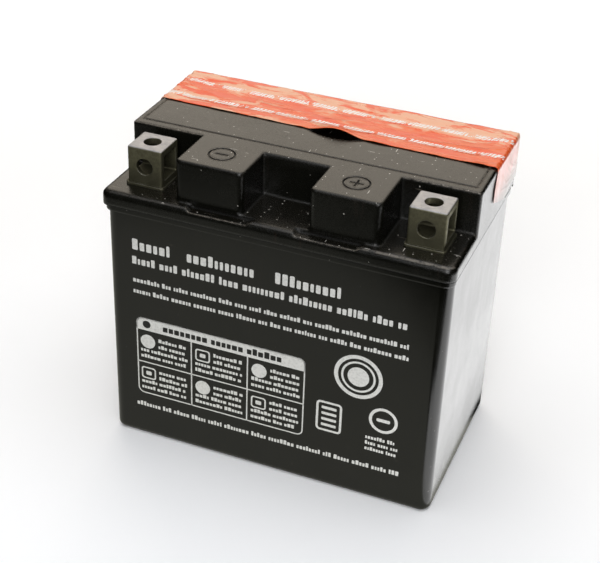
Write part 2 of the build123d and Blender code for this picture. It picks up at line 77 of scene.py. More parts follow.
# The two rows of dashes on the film: where each row is, and how far its dashes are shifted
DASH_ROWS = (12.7 * MM, 0.0), (24.4 * MM, 0.4 * MM)
DASH_HEIGHT = 2.5 * MM
DASH_PITCH = 0.62 * MM
DASH_LEAN = 0.45
DASH_WOBBLE = 3.5 * MM
GROUP_PITCH = 5.5 * MM
GROUP_WOBBLE = 14 * MM
GROUP_SHIFTS = 11  # the groups of a row are shifted this many times as far as its dashes

BLACK_LOW, BLACK_HIGH = (0.0030, 0.0031, 0.0020), (0.0050, 0.0049, 0.0034)
BROWN_RUNS = (0.020, 0.013, 0.010)
DUST_HAZE = (0.150, 0.125, 0.095)
DUST_SPECKS = (0.66, 0.63, 0.58)
# pale worn plastic, also used for the painted highlight along the front ledge's rim
WORN_BLACK_AND_HIGHLIGHT = (0.34, 0.30, 0.25)
# painted shade in grooves and along the joint, and dirt in the valve cover's seam
GROOVE_SHADE_AND_DIRT = (0.0015, 0.0015, 0.0012)
LEAD_PALE, LEAD_DULL = (0.50, 0.50, 0.52), (0.225, 0.214, 0.135)
INNER_LEAD_PALE, INNER_LEAD_DULL = (0.46, 0.47, 0.49), (0.30, 0.31, 0.33)
POSITIVE_PASTE, POSITIVE_GRID = (0.085, 0.034, 0.020), (0.20, 0.19, 0.19)
NEGATIVE_PASTE, NEGATIVE_GRID = (0.20, 0.21, 0.22), (0.36, 0.37, 0.38)
MAT_SHADED, MAT_WHITE = (0.62, 0.62, 0.58), (0.86, 0.86, 0.83)
RUBBER_BLACK, RUBBER_BLOOM = (0.012, 0.012, 0.012), (0.035, 0.034, 0.033)
CERAMIC_LOW, CERAMIC_HIGH = (0.66, 0.63, 0.56), (0.82, 0.80, 0.74)
CERAMIC_PORES = (0.24, 0.22, 0.19)
FILM_RED, FILM_ORANGE = (0.95, 0.098, 0.022), (0.97, 0.175, 0.050)
# painted glints on the film
FILM_GLINTS = (0.98, 0.59, 0.39)
FILM_FINE = (0.97, 0.34, 0.16)
# painted glare and reflection on the flaps
FLAP_GLARE_PINK, FLAP_GLARE_GREY = (0.98, 0.77, 0.74), (0.52, 0.51, 0.495)
FILM_DASHES = (1.0, 0.93, 0.90)
INK_PALE, INK_PALE_WORN = (0.86, 0.86, 0.84), (0.66, 0.66, 0.64)
INK_DARK, INK_DARK_WORN = (0.012, 0.012, 0.011), (0.03, 0.03, 0.028)
FLOOR_LOW, FLOOR_HIGH = (0.90, 0.91, 0.93), (0.92, 0.93, 0.95)
FLOOR_GLOW = 0.15, 1.0  # it starts to glow and is fully white, so far from the middle


def darker(colour, share):
    """That share of the colour's brightness."""
    return tuple(share * channel for channel in colour)


def with_alpha(value):
    """Adds the alpha that a colour socket needs, and leaves sockets and numbers alone."""
    return (*value, 1.0) if isinstance(value, tuple) and len(value) == 3 else value


class Graph:
    """A material's nodes, written as plain calls. Every coordinate is in metres, and so is
    every length that is passed in."""

    def __init__(self, name):
        self.material = bpy.data.materials.new(name)
        self.material.use_nodes = True
        self.tree = self.material.node_tree
        self.shader = self.tree.nodes["Principled BSDF"]

    def put(self, socket, value):
        if isinstance(value, bpy.types.NodeSocket):
            self.tree.links.new(value, socket)
        else:
            socket.default_value = value

    def node(self, kind, inputs, **settings):
        made = self.tree.nodes.new(kind)
        for name, value in settings.items():
            setattr(made, name, value)
        for socket, value in inputs.items():
            self.put(made.inputs[socket], value)
        return made

    def place(self, scale=(1, 1, 1), turn=(0, 0, 0)):
        """The object's own coordinates, stretched and turned."""
        here = self.node("ShaderNodeTexCoord", {}).outputs["Object"]
        return self.node(
            "ShaderNodeMapping", {"Vector": here, "Scale": scale, "Rotation": turn}
        ).outputs["Vector"]

    def noise(self, at, scale, detail=3.0, rough=0.5, warp=0.0):
        """Soft noise from 0 to 1, with about scale lumps to the metre."""
        inputs = {"Vector": at, "Scale": scale, "Detail": detail}
        inputs |= {"Roughness": rough, "Distortion": warp}
        return self.node("ShaderNodeTexNoise", inputs).outputs["Fac"]

    def math(self, operation, a, b=0.0, c=0.0):
        made = self.node("ShaderNodeMath", {0: a, 1: b, 2: c}, operation=operation)
        return made.outputs["Value"]

    def product(self, *factors):
        return reduce(lambda a, b: self.math("MULTIPLY", a, b), factors)

    def largest(self, *values):
        return reduce(lambda a, b: self.math("MAXIMUM", a, b), values)

    def inverse(self, share):
        """1 less the share."""
        return self.math("SUBTRACT", 1.0, share)

    def magnitude(self, value):
        return self.math("ABSOLUTE", value)

    def band(self, value, low, high, to_low=0.0, to_high=1.0):
        """Maps low..high to to_low..to_high, smoothly and clamped."""
        inputs = {"Value": value, "From Min": low, "From Max": high}
        inputs |= {"To Min": to_low, "To Max": to_high}
        made = self.node("ShaderNodeMapRange", inputs, interpolation_type="SMOOTHSTEP")
        return made.outputs["Result"]

    def mix(self, factor, a, b):
        made = self.node("ShaderNodeMix", {}, data_type="RGBA")
        self.put(made.inputs["Factor"], factor)
        # the node has these sockets once for each kind of value: 6, 7 and 2 are the colours
        self.put(made.inputs[6], with_alpha(a))
        self.put(made.inputs[7], with_alpha(b))
        return made.outputs[2]

    def axes(self, vector):
        return self.node("ShaderNodeSeparateXYZ", {"Vector": vector}).outputs

    def upward(self):
        """How far the surface faces up, from -1 to 1."""
        return self.axes(self.node("ShaderNodeNewGeometry", {}).outputs["Normal"])["Z"]

    def specks(self, at, scale, share, size, flat=False):
        """Scattered dots. With scale cells to the metre, that share of the cells holds one,
        with a radius of up to size cells. Flat ones are laid out in X and Y alone, like dust
        that has settled from above."""
        cells = self.node(
            "ShaderNodeTexVoronoi",
            {"Vector": at, "Scale": scale},
            voronoi_dimensions="2D" if flat else "3D",
        )
        chance = self.axes(cells.outputs["Color"])
        picked = self.math("GREATER_THAN", chance["X"], 1 - share)
        radius = self.band(chance["Y"], 0, 1, 0.25 * size, size)
        near = self.math("LESS_THAN", cells.outputs["Distance"], radius)
        return self.product(picked, near)

    def softened(self, radius):
        """The surface's normal with every edge rounded off by the radius."""
        return self.node("ShaderNodeBevel", {"Radius": radius}, samples=6).outputs["Normal"]

    def worn_edges(self, radius):
        """Close to 1 at outer edges sharper than the radius, 0 on open faces and in inner
        corners."""
        true = self.node("ShaderNodeNewGeometry", {}).outputs["Normal"]
        both = {0: self.softened(radius), 1: true}
        made = self.node("ShaderNodeVectorMath", both, operation="DOT_PRODUCT")
        sharp = self.band(made.outputs["Value"], 0.80, 0.98, 1, 0)
        inner = self.sheltered(2 * radius, 0.65, 0.92)
        return self.product(sharp, self.inverse(inner))

    def sheltered(self, reach, closed, open_sky):
        """How shut in the surface is by the object itself within the reach: 1 where no more
        than the share closed of its view is free, and 0 where at least open_sky is."""
        made = self.node(
            "ShaderNodeAmbientOcclusion", {"Distance": reach}, samples=6, only_local=True
        )
        return self.band(made.outputs["AO"], closed, open_sky, 1, 0)

    def shaded_crevices(self):
        """Painted shade: close to 1 in the sunk marks in front of the valve cover and in the
        relief low down at the lid's right end, where the surface is shut in."""
        deep = self.sheltered(GROOVE_REACH, 0.45, 0.85)
        at = self.axes(self.place())
        front = self.math("LESS_THAN", at["Y"], COVER_LOW.y - 1 * MM)
        end = self.math("GREATER_THAN", at["X"], LID_HIGH.x - 2 * MM)
        low = self.math("LESS_THAN", at["Z"], JOINT_Z + 2 * MM)
        return self.product(deep, self.largest(front, self.product(end, low)))

    def block_feet(self):
        """1 low down behind the front of the sills, round the feet of the two blocks, where
        nothing rubs."""
        at = self.axes(self.place())
        inside = self.math("LESS_THAN", self.magnitude(at["X"]), BLOCKS_REACH_X)
        low = self.math("LESS_THAN", at["Z"], BLOCK_FEET_TOP_Z)
        return self.product(self.band(at["Y"], *BLOCK_FEET_Y), inside, low)

    def joint(self):
        """1 along the line of painted shade where the lid is sealed to the case."""
        z = self.axes(self.place())["Z"]
        off = self.magnitude(self.math("SUBTRACT", z, JOINT_Z))
        return self.band(off, *JOINT_SHADE_LINE, 1, 0)

    def painted_rim_highlight(self):
        """A painted highlight along the rounded upper edge of the lid's front ledge: stronger
        to the right, and 0 everywhere else."""
        up = self.upward()
        at = self.axes(self.place())
        rim = self.product(self.band(up, 0.66, 0.80), self.band(up, 0.90, 0.98, 1, 0))
        front = self.band(at["Y"], LID_LOW.y + 2 * MM, LID_LOW.y + 3 * MM, 1, 0)
        return self.product(rim, front, self.band(at["X"], 0, 50 * MM, 0.08, 0.55))

    def seam(self):
        """1 along the dirty seam at the front of the valve cover, on the lid's flat top."""
        at = self.axes(self.place())
        off = self.magnitude(self.math("SUBTRACT", at["Y"], COVER_LOW.y))
        inside = self.math("LESS_THAN", self.magnitude(at["X"]), COVER_HIGH.x)
        top = self.math("GREATER_THAN", at["Z"], COVER_LOW.z)
        return self.product(self.band(off, *SEAM_LINE, 1, 0), inside, top)

    def bump(self, height, depth, normal=None):
        """Relief of that depth, on top of another normal where one is given."""
        inputs = {"Height": height, "Strength": 1.0, "Distance": depth}
        if normal is not None:
            inputs["Normal"] = normal
        return self.node("ShaderNodeBump", inputs).outputs["Normal"]

    def finish(self, **sockets):
        for name, value in sockets.items():
            self.put(self.shader.inputs[name.replace("_", " ")], with_alpha(value))
        return self.material


def settled_dust(g, at, up, dust):
    """Crumbs, flecks, fibres and threads lying where the surface faces up, and a few specks
    that cling to its walls."""
    crumbs = g.specks(at, 420, 0.22, 0.085, flat=True)
    flecks = g.specks(at, 62, 0.32, 0.038, flat=True)
    fibres = g.specks(g.place((110, 1500, 300), (0, 0, 0.7)), 1, 0.028, 0.15, flat=True)
    threads = g.specks(g.place((1300, 130, 300), (0, 0, 0.9)), 1, 0.02, 0.15, flat=True)
    lying = g.product(g.largest(crumbs, flecks, fibres, threads), up)
    clinging = g.product(g.specks(at, 420, 0.16, 0.11), g.band(up, 0, 1, 0.8, 0))
    return g.product(g.largest(lying, clinging), dust)


def worn_edges_and_rim_highlight(g, at):
    """Outer edges rubbed pale above the joint, and a painted highlight on the rounded rim of
    the front ledge.
    """
    z = g.axes(at)["Z"]
    edges = g.product(g.worn_edges(1 * MM), g.band(z, JOINT_Z, JOINT_Z + 2 * MM, WEAR_LOW, 1))
    patchy = g.band(g.noise(at, 600, 4, 0.7), 0.34, 0.56)
    return g.product(g.largest(edges, g.painted_rim_highlight()), patchy)


def moulded_plastic(name, dust, wear, edge_r):
    """Black moulded polypropylene: satin, a little uneven, dusty where it faces up, with its
    edges softened by edge_r."""
    g = Graph(name)
    at = g.place()
    up = g.band(g.upward(), 0.75, 0.99)
    cloudy = g.noise(at, 45, 4, 0.6)
    runs = g.noise(g.place((260, 260, 22)), 1, 4, 0.6)
    haze = g.noise(at, 2300, 5, 0.75)
    body = g.mix(g.band(cloudy, 0.3, 0.7), BLACK_LOW, BLACK_HIGH)
    body = g.mix(g.band(runs, 0.58, 0.75, 0, 0.6 * wear), body, BROWN_RUNS)
    body = g.mix(g.product(up, g.band(haze, 0.38, 0.64, 0.0, 0.050 * dust)), body, DUST_HAZE)
    body = g.mix(settled_dust(g, at, up, dust), body, DUST_SPECKS)

    scuffs = g.noise(g.place((60, 2200, 260), (0, 0, -0.35)), 1, 2, 0.6)
    scuffs = g.product(g.band(scuffs, 0.72, 0.80), 0.6 * wear)
    grooves = g.shaded_crevices()
    # pale wear on outer edges, and a painted highlight along the front ledge's rim, both in
    # the worn colour
    rubbed = g.product(worn_edges_and_rim_highlight(g, at), g.inverse(g.largest(grooves, g.block_feet())), wear)
    body = g.mix(g.largest(scuffs, rubbed), body, WORN_BLACK_AND_HIGHLIGHT)
    # painted shade in the sunk marks, the relief and along the joint, and dirt in the valve
    # cover's seam
    grooves = g.largest(grooves, g.joint())
    body = g.mix(g.largest(grooves, g.seam()), body, GROOVE_SHADE_AND_DIRT)

    swells = g.noise(g.place((1, 1, 0.35)), 55, 2, 0.5)
    normal = g.bump(swells, 0.12 * MM, g.softened(edge_r))
    normal = g.bump(g.noise(at, 4200, 3, 0.6), 0.03 * MM * wear, normal)
    rough = g.band(cloudy, 0.3, 0.7, 0.17, 0.23)
    rough = g.math("ADD", rough, g.product(g.band(haze, 0.35, 0.65), 0.10 * dust))
    rough = g.largest(rough, g.product(grooves, 0.9))
    return g.finish(Base_Color=body, Roughness=rough, Normal=normal, Specular_IOR_Level=0.5)


def cast_lead(name, bright, dull, rubbed_z):
    """Cast lead alloy: dull and faintly pitted, darker low down, painted nearly black as shade
    in hollows, and rubbed paler where it faces up above rubbed_z."""
    g = Graph(name)
    at = g.place()
    z = g.axes(at)["Z"]
    cloudy = g.noise(at, 420, 5, 0.65)
    rubbed = g.noise(g.place((400, 3800, 700), (0, 0, 0.6)), 1, 3, 0.6)
    pale = g.mix(g.band(rubbed, 0.35, 0.7), bright, darker(bright, 0.82))
    stained = g.mix(g.band(cloudy, 0.32, 0.66), dull, darker(dull, 0.62))
    low = g.band(z, rubbed_z - 11 * MM, rubbed_z - 2 * MM, 0.8, 0)
    stained = g.mix(low, stained, darker(dull, 0.5))
    top = g.product(g.band(g.upward(), 0.4, 0.95), g.band(z, rubbed_z, rubbed_z + 0.6 * MM))
    edges = g.product(g.worn_edges(0.3 * MM), g.band(cloudy, 0.35, 0.6, 0.05, 0.5))
    metal = g.mix(g.largest(top, edges), stained, pale)
    # painted shade: nearly black where the lead is shut in, as in its holes
    metal = g.mix(g.sheltered(8 * MM, 0.42, 0.80), metal, darker(dull, 0.12))
    pits = g.specks(at, 1900, 0.22, 0.28)
    metal = g.mix(g.product(pits, 0.5), metal, darker(dull, 0.4))
    normal = g.bump(cloudy, 0.08 * MM, g.softened(0.5 * MM))
    normal = g.bump(g.noise(at, 3200, 3, 0.6), 0.025 * MM, normal)
    normal = g.bump(g.product(pits, -1.0), 0.03 * MM, normal)
    rough = g.band(cloudy, 0.3, 0.7, 0.42, 0.62)
    return g.finish(Base_Color=metal, Roughness=rough, Normal=normal, Metallic=0.85)


def pasted_plate(name, paste, grid):
    """Battery plate: paste in a lead grid, with the grid's wires showing through."""
    g = Graph(name)
    at = g.axes(g.place())
    row = g.band(g.math("PINGPONG", at["Z"], 3.2 * MM), 0.22 * MM, 0.4 * MM, 1, 0)
    column = g.band(g.math("PINGPONG", at["Y"], 4.5 * MM), 0.22 * MM, 0.4 * MM, 1, 0)
    crust = g.noise(g.place(), 900, 6, 0.7)
    shown = g.product(g.largest(row, column), g.band(crust, 0.4, 0.6, 0.15, 0.7))
    body = g.mix(g.band(crust, 0.3, 0.7), paste, darker(paste, 0.6))
    body = g.mix(shown, body, grid)
    normal = g.bump(crust, 0.06 * MM)
    rough = g.band(crust, 0.3, 0.7, 0.75, 0.92)
    return g.finish(Base_Color=body, Roughness=rough, Normal=normal, Specular_IOR_Level=0.3)


def glass_mat():
    """White absorbent mat of fine glass fibres, pressed and slightly felted."""
    g = Graph("glass_mat")
    long_fibres = g.noise(g.place((500, 500, 6000), (0.5, 0.1, 0)), 1, 4, 0.7, 0.4)
    cross_fibres = g.noise(g.place((500, 6000, 500), (0.3, 0, 0.2)), 1, 4, 0.7, 0.4)
    felt = g.largest(long_fibres, cross_fibres)
    body = g.mix(g.band(felt, 0.45, 0.75), MAT_SHADED, MAT_WHITE)
    normal = g.bump(felt, 0.05 * MM)
    rough = g.band(felt, 0.4, 0.7, 0.95, 0.85)
    return g.finish(Base_Color=body, Roughness=rough, Normal=normal, Sheen_Weight=0.25)


def soft_rubber():
    """Black rubber with a faint pale bloom."""
    g = Graph("valve_rubber")
    at = g.place()
    bloom = g.noise(at, 700, 4, 0.65)
    body = g.mix(g.band(bloom, 0.35, 0.7), RUBBER_BLACK, RUBBER_BLOOM)
    normal = g.bump(g.noise(at, 4000, 2, 0.5), 0.012 * MM)
    rough = g.band(bloom, 0.3, 0.7, 0.5, 0.68)
    return g.finish(Base_Color=body, Roughness=rough, Normal=normal)


def porous_ceramic():
    """Off-white sintered plug with open pores."""
    g = Graph("porous_ceramic")
    at = g.place()
    pores = g.specks(at, 5200, 0.6, 0.42)
    tone = g.noise(at, 1800, 4, 0.6)
    body = g.mix(g.band(tone, 0.3, 0.7), CERAMIC_LOW, CERAMIC_HIGH)
    body = g.mix(g.product(pores, 0.7), body, CERAMIC_PORES)
    normal = g.bump(g.product(pores, -1.0), 0.06 * MM)
    rough = g.band(tone, 0.3, 0.7, 0.8, 0.95)
    return g.finish(Base_Color=body, Roughness=rough, Normal=normal)


def dash_row(g, at, row_y, shift):
    """1 inside one row of slanted dashes, in uneven groups."""
    wobble = g.noise(g.place((300, 90, 100), (0, 0, shift / MM)), 1, 3, 0.7)
    half = g.band(wobble, 0.38, 0.62, 0.45 * DASH_HEIGHT, 0.5 * DASH_HEIGHT)
    inside = g.math("LESS_THAN", g.magnitude(g.math("SUBTRACT", at["Y"], row_y)), half)
    leaning = g.math("MULTIPLY_ADD", at["Y"], -DASH_LEAN, at["X"])
    leaning = g.math("MULTIPLY_ADD", wobble, DASH_WOBBLE, leaning)
    stroke = g.math("PINGPONG", g.math("ADD", leaning, shift), DASH_PITCH)
    stroke = g.band(stroke, 0.22 * DASH_PITCH, 0.36 * DASH_PITCH)
    groups = g.math("MULTIPLY_ADD", wobble, GROUP_WOBBLE, at["X"])
    groups = g.math("PINGPONG", g.math("ADD", groups, GROUP_SHIFTS * shift), GROUP_PITCH)
    return g.product(inside, stroke, g.math("GREATER_THAN", groups, 0.17 * GROUP_PITCH))


def orange_film():
    """Orange-red adhesive film with two rows of plain slanted dashes in white. The film's UV
    map holds the distance along it from its middle, and y, both in metres."""
    g = Graph("tape_film")
    at = g.axes(g.node("ShaderNodeUVMap", {}).outputs["UV"])
    past_top = g.math("SUBTRACT", g.magnitude(at["X"]), LID_HIGH.x)
    blotches = g.noise(g.place((85, 260, 150), (0, 0, 0.05)), 1, 4, 0.55, 0.6)
    fine = g.noise(g.place((420, 1700, 900), (0, 0, 0.12)), 1, 3, 0.6)
    body = g.mix(g.band(blotches, 0.36, 0.60), FILM_RED, FILM_ORANGE)
    # painted glints: more pale streaks towards the rear edge, and more at the left than at the
    # right
    behind = g.band(at["Y"], 18 * MM, 25 * MM, 0, 0.155)
    sideways = g.band(at["X"], -55 * MM, 45 * MM, 0.11, -0.05)
    sideways = g.product(sideways, g.band(at["Y"], 17 * MM, 22 * MM, 1, 0))
    painted_glints = g.math("ADD", g.math("ADD", blotches, behind), sideways)
    body = g.mix(g.band(painted_glints, 0.57, 0.70, 0, 0.8), body, FILM_GLINTS)
    body = g.mix(g.band(fine, 0.54, 0.75, 0, 0.18), body, FILM_FINE)
    # the flaps hang clear of the lid, and are painted pale with glare and reflection: pink at
    # the top and grey lower down
    lifted = g.band(past_top, 0, 1.5 * MM, 0, 0.62)
    lifted = g.band(past_top, 4 * MM, 16 * MM, lifted, 0.92)
    pale = g.mix(g.band(past_top, 3 * MM, 14 * MM), FLAP_GLARE_PINK, FLAP_GLARE_GREY)
    body = g.mix(lifted, body, pale)
    rows = [dash_row(g, at, y, shift) for y, shift in DASH_ROWS]
    patchy = g.band(g.noise(g.place((300, 700, 400)), 1, 3, 0.7), 0.30, 0.44)
    on_top = g.math("LESS_THAN", past_top, 0.0)
    body = g.mix(g.product(g.largest(*rows), on_top, patchy), body, FILM_DASHES)
    normal = g.bump(blotches, 0.1 * MM, g.bump(fine, 0.01 * MM))
    rough = g.band(blotches, 0.3, 0.7, 0.20, 0.34)
    rough = g.math("ADD", rough, g.band(past_top, 0, 2 * MM, 0, 0.08))
    return g.finish(Base_Color=body, Roughness=rough, Normal=normal)


def print_ink(name, ink, worn):
    """Screen-printed ink, thin and a little patchy."""
    g = Graph(name)
    patchy = g.noise(g.place(), 1500, 4, 0.7)
    body = g.mix(g.band(patchy, 0.42, 0.72), ink, worn)
    normal = g.bump(patchy, 0.008 * MM)
    rough = g.band(patchy, 0.3, 0.7, 0.45, 0.6)
    return g.finish(Base_Color=body, Roughness=rough, Normal=normal, Specular_IOR_Level=0.35)


def studio_floor():
    """Pale matt floor with a barely uneven tone. Far off it glows, so that it meets the white
    background with no horizon."""
    g = Graph("pale_floor")
    tone = g.noise(g.place(), 6, 3, 0.5)
    body = g.mix(g.band(tone, 0.3, 0.7), FLOOR_LOW, FLOOR_HIGH)
    away = g.node("ShaderNodeVectorMath", {0: g.place()}, operation="LENGTH").outputs["Value"]
    return g.finish(
        Base_Color=body,
        Roughness=0.9,
        Specular_IOR_Level=0.1,
        Emission_Color=(1, 1, 1),
        Emission_Strength=g.band(away, *FLOOR_GLOW),
    )


CASE_PLASTIC = moulded_plastic("case_plastic", dust=0.15, wear=0.2, edge_r=0.7 * MM)
LID_PLASTIC = moulded_plastic("lid_plastic", dust=0.95, wear=0.8, edge_r=1.3 * MM)
TERMINAL_LEAD = cast_lead("terminal_lead", LEAD_PALE, LEAD_DULL, TERMINAL_HIGH.z - 0.8 * MM)
INNER_LEAD = cast_lead("cast_lead", INNER_LEAD_PALE, INNER_LEAD_DULL, 0.0)

# The starts of the CAD nodes' names, and the material of each kind
NODE_MATERIALS = (
    (("case",), CASE_PLASTIC),
    (("lid", "valve_cover"), LID_PLASTIC),
    (("terminal",), TERMINAL_LEAD),
    (("positive_strap", "negative_strap", "cell_weld"), INNER_LEAD),
    (("positive_plates",), pasted_plate("positive_plate", POSITIVE_PASTE, POSITIVE_GRID)),
    (("negative_plates",), pasted_plate("negative_plate", NEGATIVE_PASTE, NEGATIVE_GRID)),
    (("separators",), glass_mat()),
    (("valve_cap", "post_seal"), soft_rubber()),
    (("flame_arrestor",), porous_ceramic()),
    (("seal_tape",), orange_film()),
)


def dress_cad_nodes():
    """Gives each CAD node the material of its kind, by the start of its name."""
    for name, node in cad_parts.items():
        kind = next(made for starts, made in NODE_MATERIALS if name.startswith(starts))
        node.data.materials.clear()
        node.data.materials.append(kind)


dress_cad_nodes()


# ---------------------------------------------------------------- the film over the ports

# In millimetres
TOP_Z = LID_HIGH.z / MM
HALF_LENGTH = LID_HIGH.x / MM
FILM_T = 0.10
FILM_GAP = 0.24  # middle of the film above the lid, clear of it where it ripples
FILM_CORNER_R = 1.3
FILM_REAR_Y = TAPE_HIGH.y / MM
FLAP_TOP_Z = TOP_Z + FILM_GAP - FILM_CORNER_R
FLAP_BOTTOM_Z = TAPE_LOW.z / MM + 0.8
FOLD_INSET = 0.2  # the flap's shape takes over from the top's this far in from the lid's end
FLAP_EASE = 5  # and is full this far below the fold
FLAP_FORWARD = 1.7  # how far the flap's front edge swings forward below the fold
FLAP_REAR_RISE = 1.4  # its lower edge runs up towards the rear, over these y and drops
FLAP_RISE_Y, FLAP_RISE_DROP = (17, 30), (5, 14)
CUT_TOP_Z = 94.4  # the flap's front corner is cut off below this
CUT_DEPTH = 14.0
EDGE_START_Y = 7.3  # the film was stuck on a little askew
EDGE_SKEW = 0.021
LOOSE_EDGE = 2.2  # this far in from the front edge the film can lift
BUCKLE_X = 4.6  # where a finger has been under the front edge
BUCKLE_HALF = 10.0
BUCKLE_HEIGHT = 1.9
BUCKLE_DEPTH = 6.5
SAG = 0.45  # over the trough
TROUGH_FRONT, TROUGH_REAR = 9.4, 29.6
TROUGH_SLOPE = 4  # the film's slack comes on over this distance from the trough's edge
TROUGH_END_X = 47, 53
END_PUCKERS_X = 44, 56
RIGHT_FLAP_SEED, LEFT_FLAP_SEED = 20.0, 40.0
FILM_COLUMNS_TOP = 320
FILM_COLUMNS_CORNER = 8
FILM_COLUMNS_FLAP = 42
FILM_ROWS = 84


def smooth(value, low, high):
    """Eases from 0 at low to 1 at high."""
    t = min(1.0, max(0.0, (value - low) / (high - low)))
    return t * t * (3 - 2 * t)


def ripple(u, v, across, along, seed):
    """Noise from -1 to 1 whose folds are along millimetres long in u and across in v."""
    return noise.noise(Vector((u / along, v / across, seed)))


def crease(u, v, across, along, seed, lean=0.0):
    """Sharp folded lines, from 0 to 1, that run along u or lean away from it."""
    n = abs(noise.noise(Vector(((u + lean * v) / along, (v - lean * u) / across, seed))))
    return max(0.0, 1 - 4.5 * n) ** 2


def front_edge(x, z):
    """The film's front edge: askew on top, running back down the flaps, with a cut corner."""
    y = EDGE_START_Y - EDGE_SKEW * (x + HALF_LENGTH)
    y += 0.16 * ripple(x, z, across=9, along=7, seed=3.1)
    y -= FLAP_FORWARD * smooth(FLAP_TOP_Z - z, 0, FLAP_EASE)
    return y + CUT_DEPTH * max(0.0, CUT_TOP_Z - z) / (CUT_TOP_Z - FLAP_BOTTOM_Z)


def lift_on_top(x, y, past_edge, on_top):
    """How far the film's top stands off its smooth path, past_edge back from the front edge.
    on_top falls from 1 to 0 at the fold."""
    over = smooth(y, TROUGH_FRONT, TROUGH_FRONT + TROUGH_SLOPE)
    over *= 1 - smooth(y, TROUGH_REAR - TROUGH_SLOPE, TROUGH_REAR)
    over *= 1 - smooth(abs(x), *TROUGH_END_X)
    # soft folds, a few creases, and slack over the trough
    lift = (0.08 + 0.22 * over) * ripple(x, y, across=7.0, along=15, seed=1.7)
    lift += (0.03 + 0.06 * over) * ripple(x, y, across=2.8, along=6.0, seed=5.2)
    lift += (0.07 + 0.12 * over) * crease(x, y, across=8.5, along=30, seed=2.9, lean=-0.08)
    lift += 0.09 * crease(x, y, across=6.0, along=15, seed=7.7, lean=0.3)
    lift -= SAG * over
    puckers = 0.25 * crease(x, y, across=6.5, along=3.5, seed=9.3, lean=0.4)
    puckers += 0.25 * abs(ripple(x, y, across=3, along=5, seed=4.4))
    lift += smooth(abs(x), *END_PUCKERS_X) * on_top * puckers
    # the loose front edge, and the buckle
    loose = on_top * (1 - smooth(past_edge, 0, LOOSE_EDGE))
    lift += loose * 0.30 * max(0.0, ripple(x, 0, across=5, along=8, seed=6.6))
    across_buckle = max(0.0, 1 - ((x - BUCKLE_X) / BUCKLE_HALF) ** 2) ** 2
    lift += BUCKLE_HEIGHT * across_buckle * (1 - smooth(past_edge, 0, BUCKLE_DEPTH))
    return lift * on_top


def lift_on_flap(y, past_edge, drop, seed):
    """How far a flap stands off the lid's end, drop below the fold: gathers that fan out from
    the top corners, and a lifted front edge."""
    fan = past_edge / (4 + 0.5 * drop)
    gather = 0.15 * crease(drop, 14 * fan, across=5.2, along=40, seed=seed + 1.3, lean=0.25)
    gather += 0.34 * abs(ripple(drop, y, across=5.5, along=26, seed=seed + 2.1))
    gather += 0.10 * (1 - smooth(past_edge, 0, LOOSE_EDGE))
    return gather * smooth(drop, 0, FLAP_EASE)


def film_point(x, z, share, out):
    """A point of the film: share runs from the front edge to the rear one. out is the way
    that the film faces there, as (x, z)."""
    front = front_edge(x, z)
    rear = FILM_REAR_Y + 0.12 * ripple(x, 0, across=5, along=6, seed=8.4)
    y = front + share * (rear - front)
    drop = max(0.0, FLAP_TOP_Z - z)
    on_flap = smooth(abs(x), HALF_LENGTH - FOLD_INSET, HALF_LENGTH + FILM_GAP)
    seed = RIGHT_FLAP_SEED if x > 0 else LEFT_FLAP_SEED
    lift = lift_on_top(x, y, y - front, 1 - on_flap)
    lift += lift_on_flap(y, y - front, drop, seed) * on_flap
    z += FLAP_REAR_RISE * on_flap * smooth(y, *FLAP_RISE_Y) * smooth(drop, *FLAP_RISE_DROP)
    return Vector((x + out[0] * lift, y, z + out[1] * lift)) * MM


def film_section():
    """The film's path over the lid, from one flap's lower edge to the other's: a list of
    (x, z, way out, distance along it)."""
    side_x = HALF_LENGTH + FILM_GAP
    corner_x = side_x - FILM_CORNER_R
    half_top = FILM_COLUMNS_TOP // 2
    right = []
    for i in range(half_top + 1):
        x = corner_x * i / half_top
        right.append((x, TOP_Z + FILM_GAP, (0.0, 1.0), x))
    for i in range(1, FILM_COLUMNS_CORNER + 1):
        a = math.pi / 2 * i / FILM_COLUMNS_CORNER
        way = (math.sin(a), math.cos(a))
        x, z = corner_x + FILM_CORNER_R * way[0], FLAP_TOP_Z + FILM_CORNER_R * way[1]
        right.append((x, z, way, corner_x + FILM_CORNER_R * a))
    bend_end = corner_x + FILM_CORNER_R * math.pi / 2
    for i in range(1, FILM_COLUMNS_FLAP + 1):
        drop = (FLAP_TOP_Z - FLAP_BOTTOM_Z) * i / FILM_COLUMNS_FLAP
        right.append((side_x, FLAP_TOP_Z - drop, (1.0, 0.0), bend_end + drop))
    left = [(-x, z, (-way[0], way[1]), -along) for x, z, way, along in reversed(right[1:])]
    return left + right


def film_mesh():
    """The film's middle surface: a grid of quads, with the film's own lengths as its UVs."""
    section = film_section()
    points, uvs = [], []
    for x, z, out, along in section:
        for j in range(FILM_ROWS + 1):
            point = film_point(x, z, j / FILM_ROWS, out)
            points.append(point)
            uvs.append((along * MM, point.y))
    rows = FILM_ROWS + 1
    faces = [
        (i * rows + j, (i + 1) * rows + j, (i + 1) * rows + j + 1, i * rows + j + 1)
        for i in range(len(section) - 1)
        for j in range(FILM_ROWS)
    ]
    mesh = bpy.data.meshes.new("film_over_ports")
    mesh.from_pydata(points, [], faces)
    layer = mesh.uv_layers.new(name="film")
    for loop in mesh.loops:
        layer.data[loop.index].uv = uvs[loop.vertex_index]
    mesh.shade_smooth()
    mesh.materials.append(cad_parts["seal_tape"].data.materials[0])
    return mesh


def make_film():
    """The wrinkled film, which takes the plain tape solid's place."""
    film = bpy.data.objects.new("film_over_ports", film_mesh())
    bpy.context.scene.collection.objects.link(film)
    thick = film.modifiers.new("thickness", "SOLIDIFY")
    thick.thickness = FILM_T * MM
    thick.offset = 0
    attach(film, "seal_tape")
    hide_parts("seal_tape")


make_film()


